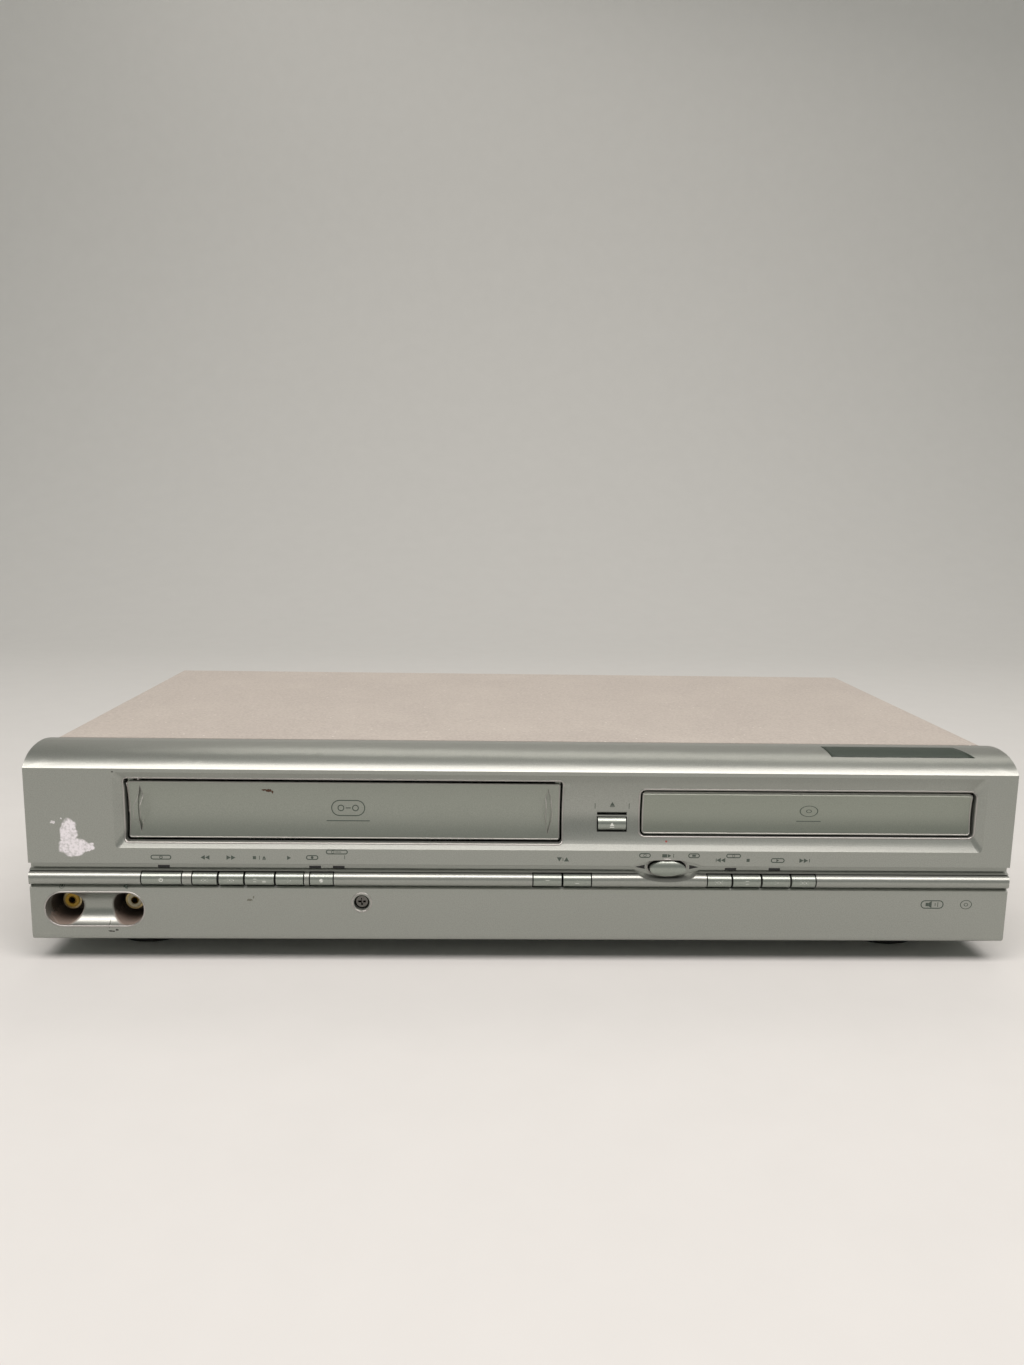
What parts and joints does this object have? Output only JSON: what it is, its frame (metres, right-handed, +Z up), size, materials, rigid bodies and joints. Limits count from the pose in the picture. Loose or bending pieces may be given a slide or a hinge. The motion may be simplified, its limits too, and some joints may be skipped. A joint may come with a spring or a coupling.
{
  "type": "disc and video cassette player",
  "caption": "Low silver home player with a hinged cassette flap, a sliding disc tray, a row of push keys and the working parts of both decks inside.",
  "frame": {"origin": "on the surface that the feet stand on, at the middle of the footprint", "axes": "+X to the right of someone facing the front, +Y to the back, +Z up"},
  "size_m": [0.435, 0.238, 0.0962],
  "materials": {
    "silver_panel": "metallic-painted moulding, fine satin",
    "silver_door": "metallic-painted moulding, fine satin",
    "silver_key": "metallic-painted keycap",
    "cover_paint": "finely textured baked paint",
    "zinc_steel": "zinc-plated sheet",
    "black_steel": "textured black paint",
    "screw_steel": "blackened steel",
    "spring_steel": "drawn wire",
    "black_rubber": "moulded",
    "dark_lens": "smoked clear moulding",
    "socket_black": "moulded housings with plated shells",
    "nickel_can": "nickel-plated",
    "board_green": "glass-epoxy board with parts",
    "black_tray": "moulded",
    "white_gear": "acetal",
    "polished_rod": "ground steel",
    "cast_alloy": "die cast",
    "turned_drum": "fine turned"
  },
  "bodies": {
    "root": {"antenna_unit": "nickel_can", "bottom_chassis": "zinc_steel", "carriage_frame": "zinc_steel", "clamp_bridge": "zinc_steel", "cord_bush": "black_rubber", "deck_plate": "zinc_steel", "disc_board": "board_green", "door_spring": "spring_steel", "drum_base": "cast_alloy", "feet": "black_rubber", "front_board": "board_green", "front_panel": "silver_panel", "front_sockets": "socket_black", "indicator_lenses": "dark_lens", "loader_frame": "black_tray", "loading_belt": "black_rubber", "loading_motor": "zinc_steel", "main_board": "board_green", "power_board": "board_green", "rear_panel": "black_steel", "rear_sockets": "socket_black", "screws": "screw_steel", "tape_heads": "nickel_can", "top_cover": "cover_paint"},
    "vhs_door": {"vhs_door": "silver_door"},
    "tray": {"disc_tray": "black_tray", "tray_front": "silver_door"},
    "tray_gear": {"tray_gear": "white_gear"},
    "pulley_gear": {"pulley_gear": "white_gear"},
    "motor_pulley": {"motor_pulley": "white_gear"},
    "traverse": {"traverse_chassis": "black_tray", "guide_rods": "polished_rod", "spindle_motor": "zinc_steel"},
    "turntable": {"turntable": "black_tray"},
    "laser_pickup": {"laser_pickup": "cast_alloy"},
    "clamp_disc": {"clamp_disc": "black_tray"},
    "head_drum": {"head_drum": "turned_drum"},
    "capstan": {"capstan": "polished_rod"},
    "pinch_arm": {"pinch_arm": "zinc_steel"},
    "pinch_roller": {"pinch_roller": "black_rubber"},
    "supply_reel": {"supply_reel": "black_tray"},
    "takeup_reel": {"takeup_reel": "black_tray"},
    "cassette_holder": {"cassette_holder": "zinc_steel"},
    "supply_guide": {"supply_guide": "white_gear"},
    "takeup_guide": {"takeup_guide": "white_gear"},
    "key_power": {"key_power": "silver_key"},
    "key_rewind": {"key_rewind": "silver_key"},
    "key_forward": {"key_forward": "silver_key"},
    "key_stop_eject": {"key_stop_eject": "silver_key"},
    "key_vcr_play": {"key_vcr_play": "silver_key"},
    "key_record": {"key_record": "silver_key"},
    "key_channel_down": {"key_channel_down": "silver_key"},
    "key_channel_up": {"key_channel_up": "silver_key"},
    "key_output": {"key_output": "silver_key"},
    "key_open_close": {"key_open_close": "silver_key"},
    "key_disc_skip_back": {"key_disc_skip_back": "silver_key"},
    "key_disc_stop": {"key_disc_stop": "silver_key"},
    "key_disc_play": {"key_disc_play": "silver_key"},
    "key_disc_skip_on": {"key_disc_skip_on": "silver_key"}
  },
  "joints": [
    {"name": "door_swing", "type": "hinge", "parent": "root", "child": "vhs_door", "pos_m": [-0.08, -0.1106, 0.0846], "axis": [1, 0, 0], "range_deg": [0, 88], "stiffness_Nm_per_rad": 0.02, "springref_deg": -11.46},
    {"name": "tray_slide", "type": "slide", "parent": "root", "child": "tray", "axis": [0, -1, 0], "range_m": [0, 0.136]},
    {"name": "tray_gear_turn", "type": "hinge", "parent": "root", "child": "tray_gear", "pos_m": [0.0731, -0.09775, 0.057], "axis": [0, 0, 1], "range_deg": [0, 870.8]},
    {"name": "pulley_turn", "type": "hinge", "parent": "root", "child": "pulley_gear", "pos_m": [0.08719, -0.09262, 0.054], "axis": [0, 0, 1], "range_deg": [-1303.7, 0]},
    {"name": "motor_turn", "type": "hinge", "parent": "root", "child": "motor_pulley", "pos_m": [0.12119, -0.09262, 0.05], "axis": [0, 0, 1], "range_deg": [-5478.1, 0]},
    {"name": "traverse_drop", "type": "hinge", "parent": "root", "child": "traverse", "pos_m": [0.1256, 0.0386, 0.05125], "axis": [1, 0, 0], "range_deg": [0, 3.5]},
    {"name": "turntable_spin", "type": "hinge", "parent": "traverse", "child": "turntable", "pos_m": [0.1256, -0.0434, 0.064], "axis": [0, 0, 1], "continuous": true},
    {"name": "pickup_slide", "type": "slide", "parent": "traverse", "child": "laser_pickup", "axis": [0, 1, 0], "range_m": [0, 0.034]},
    {"name": "clamp_spin", "type": "hinge", "parent": "root", "child": "clamp_disc", "pos_m": [0.1256, -0.0434, 0.075], "axis": [0, 0, 1], "continuous": true},
    {"name": "drum_spin", "type": "hinge", "parent": "root", "child": "head_drum", "pos_m": [-0.08, 0.0546, 0.042], "axis": [-0.1028, 0, 0.9947], "continuous": true},
    {"name": "capstan_spin", "type": "hinge", "parent": "root", "child": "capstan", "pos_m": [-0.014, 0.0326, 0.03], "axis": [0, 0, 1], "continuous": true},
    {"name": "pinch_press", "type": "hinge", "parent": "root", "child": "pinch_arm", "pos_m": [0.008, 0.0243, 0.036], "axis": [0, 0, 1], "range_deg": [-30, 0]},
    {"name": "pinch_roll", "type": "hinge", "parent": "pinch_arm", "child": "pinch_roller", "pos_m": [-0.01105, 0.0133, 0.045], "axis": [0, 0, 1], "continuous": true},
    {"name": "supply_spin", "type": "hinge", "parent": "root", "child": "supply_reel", "pos_m": [-0.1245, -0.0334, 0.036], "axis": [0, 0, 1], "continuous": true},
    {"name": "takeup_spin", "type": "hinge", "parent": "root", "child": "takeup_reel", "pos_m": [-0.0355, -0.0334, 0.036], "axis": [0, 0, 1], "continuous": true},
    {"name": "holder_slide", "type": "slide", "parent": "root", "child": "cassette_holder", "axis": [0, 1, 0], "range_m": [0, 0.015]},
    {"name": "supply_guide_slide", "type": "slide", "parent": "root", "child": "supply_guide", "axis": [-0.3304, 0.9439, 0], "range_m": [0, 0.042]},
    {"name": "takeup_guide_slide", "type": "slide", "parent": "root", "child": "takeup_guide", "axis": [0.3304, 0.9439, 0], "range_m": [0, 0.042]},
    {"name": "press_power", "type": "slide", "parent": "root", "child": "key_power", "axis": [0, 1, 0], "range_m": [0, 0.0005], "stiffness_N_per_m": 400, "springref_m": -0.0008},
    {"name": "press_rewind", "type": "slide", "parent": "root", "child": "key_rewind", "axis": [0, 1, 0], "range_m": [0, 0.0005], "stiffness_N_per_m": 400, "springref_m": -0.0008},
    {"name": "press_forward", "type": "slide", "parent": "root", "child": "key_forward", "axis": [0, 1, 0], "range_m": [0, 0.0005], "stiffness_N_per_m": 400, "springref_m": -0.0008},
    {"name": "press_stop_eject", "type": "slide", "parent": "root", "child": "key_stop_eject", "axis": [0, 1, 0], "range_m": [0, 0.0005], "stiffness_N_per_m": 400, "springref_m": -0.0008},
    {"name": "press_vcr_play", "type": "slide", "parent": "root", "child": "key_vcr_play", "axis": [0, 1, 0], "range_m": [0, 0.0005], "stiffness_N_per_m": 400, "springref_m": -0.0008},
    {"name": "press_record", "type": "slide", "parent": "root", "child": "key_record", "axis": [0, 1, 0], "range_m": [0, 0.0005], "stiffness_N_per_m": 400, "springref_m": -0.0008},
    {"name": "press_channel_down", "type": "slide", "parent": "root", "child": "key_channel_down", "axis": [0, 1, 0], "range_m": [0, 0.0005], "stiffness_N_per_m": 400, "springref_m": -0.0008},
    {"name": "press_channel_up", "type": "slide", "parent": "root", "child": "key_channel_up", "axis": [0, 1, 0], "range_m": [0, 0.0005], "stiffness_N_per_m": 400, "springref_m": -0.0008},
    {"name": "press_output", "type": "slide", "parent": "root", "child": "key_output", "axis": [0, 1, 0], "range_m": [0, 0.0005], "stiffness_N_per_m": 400, "springref_m": -0.0008},
    {"name": "press_open_close", "type": "slide", "parent": "root", "child": "key_open_close", "axis": [0, 1, 0], "range_m": [0, 0.0005], "stiffness_N_per_m": 400, "springref_m": -0.0008},
    {"name": "press_disc_skip_back", "type": "slide", "parent": "root", "child": "key_disc_skip_back", "axis": [0, 1, 0], "range_m": [0, 0.0005], "stiffness_N_per_m": 400, "springref_m": -0.0008},
    {"name": "press_disc_stop", "type": "slide", "parent": "root", "child": "key_disc_stop", "axis": [0, 1, 0], "range_m": [0, 0.0005], "stiffness_N_per_m": 400, "springref_m": -0.0008},
    {"name": "press_disc_play", "type": "slide", "parent": "root", "child": "key_disc_play", "axis": [0, 1, 0], "range_m": [0, 0.0005], "stiffness_N_per_m": 400, "springref_m": -0.0008},
    {"name": "press_disc_skip_on", "type": "slide", "parent": "root", "child": "key_disc_skip_on", "axis": [0, 1, 0], "range_m": [0, 0.0005], "stiffness_N_per_m": 400, "springref_m": -0.0008}
  ],
  "couplings": [
    {"joint": "tray_gear_turn", "follows": "tray_slide", "rad_per_m": 111.11},
    {"joint": "pulley_turn", "follows": "tray_slide", "rad_per_m": -166.67},
    {"joint": "motor_turn", "follows": "tray_slide", "rad_per_m": -702.38},
    {"joint": "takeup_guide_slide", "follows": "supply_guide_slide", "ratio": 1}
  ]
}
